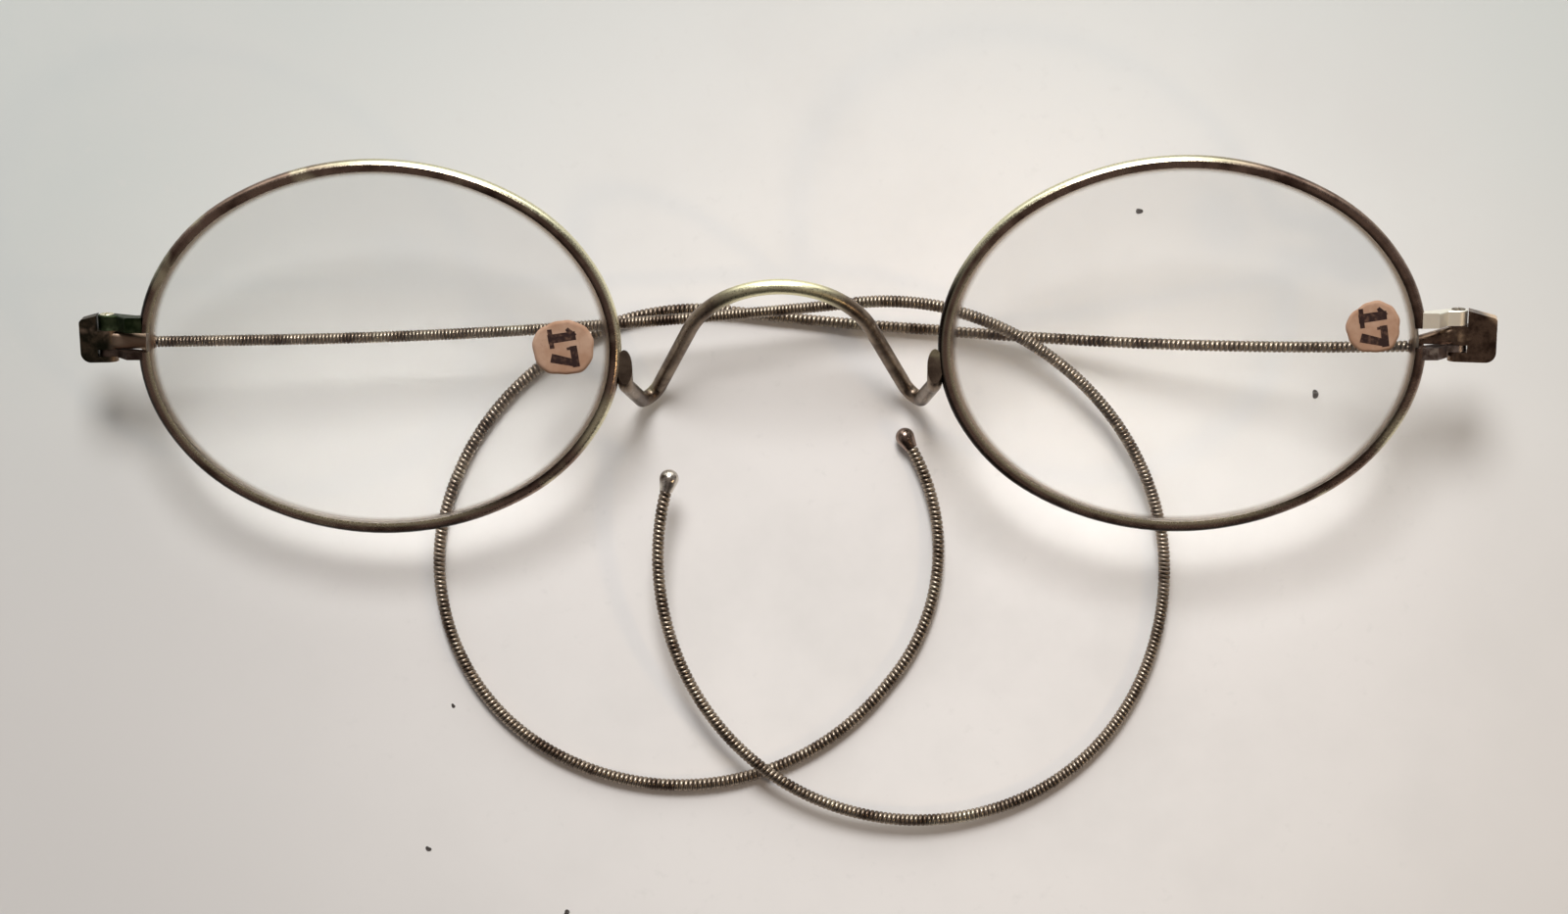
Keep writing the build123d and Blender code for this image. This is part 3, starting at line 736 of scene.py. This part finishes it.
# ---- Sheet ----
# The spectacles lie on a plain pale sheet with a faint mottle and a few specks. A pool of light is painted
# on it, brightest in the middle and falling off to dimmer edges, cooler towards the top and warmer towards
# the foot. It is part of the setting, not of the object.
SHEET_SIZE = 1.6
SHEET_DEPTH = -0.02 * MM

# where the painted pool of light is brightest and how it falls off, and where the dim foot's tint turns to
# the top's
SHEET_POOL_CENTRE = (0.012, -0.006, 0.0)
SHEET_POOL_FALL_OFF = (0.01, 0.085)
SHEET_TINT_SPAN = (-0.02, 0.035)
SHEET_LIT_MIDDLE = (0.885, 0.855, 0.832)
SHEET_DIMMER_TOP = (0.585, 0.612, 0.592)
SHEET_DIMMER_FOOT = (0.635, 0.615, 0.595)
SHEET_MOTTLE = (0.66, 0.645, 0.625)
SPECK = (0.05, 0.04, 0.036)
SPECK_POINTS = 14
SPECK_WAVES = (0.22, 0.1)

# place on the sheet in millimetres and diameter
SPECKS = (
    (30.0, 23.9, 0.5), (-30.2, -29.7, 0.45), (-28.1, -17.6, 0.34), (44.4, 9.0, 0.62), (-18.5, -35.1, 0.5),
)

sheet_data = bpy.data.meshes.new("sheet")
half = SHEET_SIZE / 2
corners = [(x, y, SHEET_DEPTH) for x, y in ((-half, -half), (half, -half), (half, half), (-half, half))]
sheet_data.from_pydata(corners, [], [(0, 1, 2, 3)])
sheet = bpy.data.objects.new("sheet", sheet_data)
scene.collection.objects.link(sheet)
sheet_paper = bpy.data.materials.new("sheet_paper")
sheet_paper.use_nodes = True
tree = sheet_paper.node_tree
surface = tree.nodes["Principled BSDF"]
surface.inputs["Roughness"].default_value = 0.9
surface.inputs["Specular IOR Level"].default_value = 0.1
browward = put(tree, "ShaderNodeSeparateXYZ", {0: place_on(tree)}).outputs["Y"]
# painted fall-off of light: dimmer colours at the edges, warmer at the foot and cooler at the top
outer = mixed(tree, graded(tree, browward, *SHEET_TINT_SPAN), SHEET_DIMMER_FOOT, SHEET_DIMMER_TOP)
from_centre = distance(tree, place_on(tree), SHEET_POOL_CENTRE)
# painted pool of light, brightest in the middle
painted_light_pool = mixed(tree, graded(tree, from_centre, *SHEET_POOL_FALL_OFF), SHEET_LIT_MIDDLE, outer)
clouds = graded(tree, noise(tree, scale=45.0, detail=5.0), low=0.4, high=0.75, to_high=0.35)
flecks = graded(tree, noise(tree, scale=700.0, detail=3.0), low=0.55, high=0.8, to_high=0.25)
mottle = mixed(tree, sums(tree, "MAXIMUM", clouds, flecks), painted_light_pool, SHEET_MOTTLE)
tree.links.new(mottle, surface.inputs["Base Color"])
sheet_data.materials.append(sheet_paper)

speck_dirt = bpy.data.materials.new("speck_dirt")
speck_dirt.use_nodes = True
tree = speck_dirt.node_tree
paler = graded(tree, noise(tree, scale=4000.0), low=0.5, high=0.9)
dirt_shade = mixed(tree, paler, SPECK, SHEET_MOTTLE)
tree.links.new(dirt_shade, tree.nodes["Principled BSDF"].inputs["Base Color"])
for number, (x, y, width) in enumerate(SPECKS):
    speck_data = bpy.data.meshes.new(f"speck_{number}")
    rim_points = []
    for step in range(SPECK_POINTS):
        angle = math.tau * step / SPECK_POINTS
        waves = SPECK_WAVES[0] * math.cos(2 * angle + number) + SPECK_WAVES[1] * math.cos(3 * angle)
        reach = width / 2 * (1 + waves)
        rim_points.append(((x + reach * math.cos(angle)) * MM, (y + reach * math.sin(angle)) * MM, 0.0))
    speck_data.from_pydata(rim_points, [], [tuple(range(SPECK_POINTS))])
    speck_data.materials.append(speck_dirt)
    speck = bpy.data.objects.new(f"speck_{number}", speck_data)
    scene.collection.objects.link(speck)


# ---- Light ----
# A window beyond the brow edge, half way up the sky, gives soft shadows towards the foot of the picture.
# The room is dark, a little lighter at its sides and overhead, and bright low down on the window's side.
# A small warm lamp stands at the right.

# the window's height is in degrees, and it stands aside by a share of its distance
WINDOW_HEIGHT = 50.0
WINDOW_ASIDE = -0.04
WINDOW_DISTANCE = 0.6
WINDOW_SIZE = 0.24
WINDOW_POWER = 2.72
WINDOW_COLOUR = (1.0, 1.0, 1.0)
LAMP_PLACE = (0.17, -0.09, 0.14)
LAMP_SIZE = 0.016
LAMP_POWER = 0.05
LAMP_COLOUR = (1.0, 0.72, 0.42)
ROOM_DARK = (0.03, 0.026, 0.025)
ROOM_SIDES = (0.3, 0.275, 0.265)
ROOM_OVERHEAD = (0.2, 0.17, 0.155)
ROOM_BRIGHT = (2.6, 2.6, 2.5)

climb = math.radians(WINDOW_HEIGHT)
window_place = Vector((WINDOW_ASIDE, math.cos(climb), math.sin(climb))) * WINDOW_DISTANCE
for name, place, size, power, colour in (
    ("window", window_place, WINDOW_SIZE, WINDOW_POWER, WINDOW_COLOUR),
    ("warm_lamp", Vector(LAMP_PLACE), LAMP_SIZE, LAMP_POWER, LAMP_COLOUR),
):
    light_data = bpy.data.lights.new(name, "AREA")
    light_data.shape = "DISK"
    light_data.size = size
    light_data.energy = power
    light_data.color = colour
    light = bpy.data.objects.new(name, light_data)
    light.location = place
    light.rotation_euler = (-place).to_track_quat("-Z", "Y").to_euler()
    scene.collection.objects.link(light)

room = bpy.data.worlds.new("room")
room.use_nodes = True
scene.world = room
tree = room.node_tree
sky = tree.nodes["Background"]
sky_way = put(tree, "ShaderNodeTexCoord").outputs["Generated"]
across, browward, upward = put(tree, "ShaderNodeSeparateXYZ", {0: sky_way}).outputs
sides = graded(tree, sums(tree, "ABSOLUTE", across), low=0.5, high=0.9)
glow = mixed(tree, sides, ROOM_DARK, ROOM_SIDES)
glow = mixed(tree, graded(tree, upward, low=0.62, high=0.9), glow, ROOM_OVERHEAD)
window_side = graded(tree, browward, low=0.55, high=0.95)
tree.links.new(mixed(tree, window_side, glow, ROOM_BRIGHT), sky.inputs["Color"])
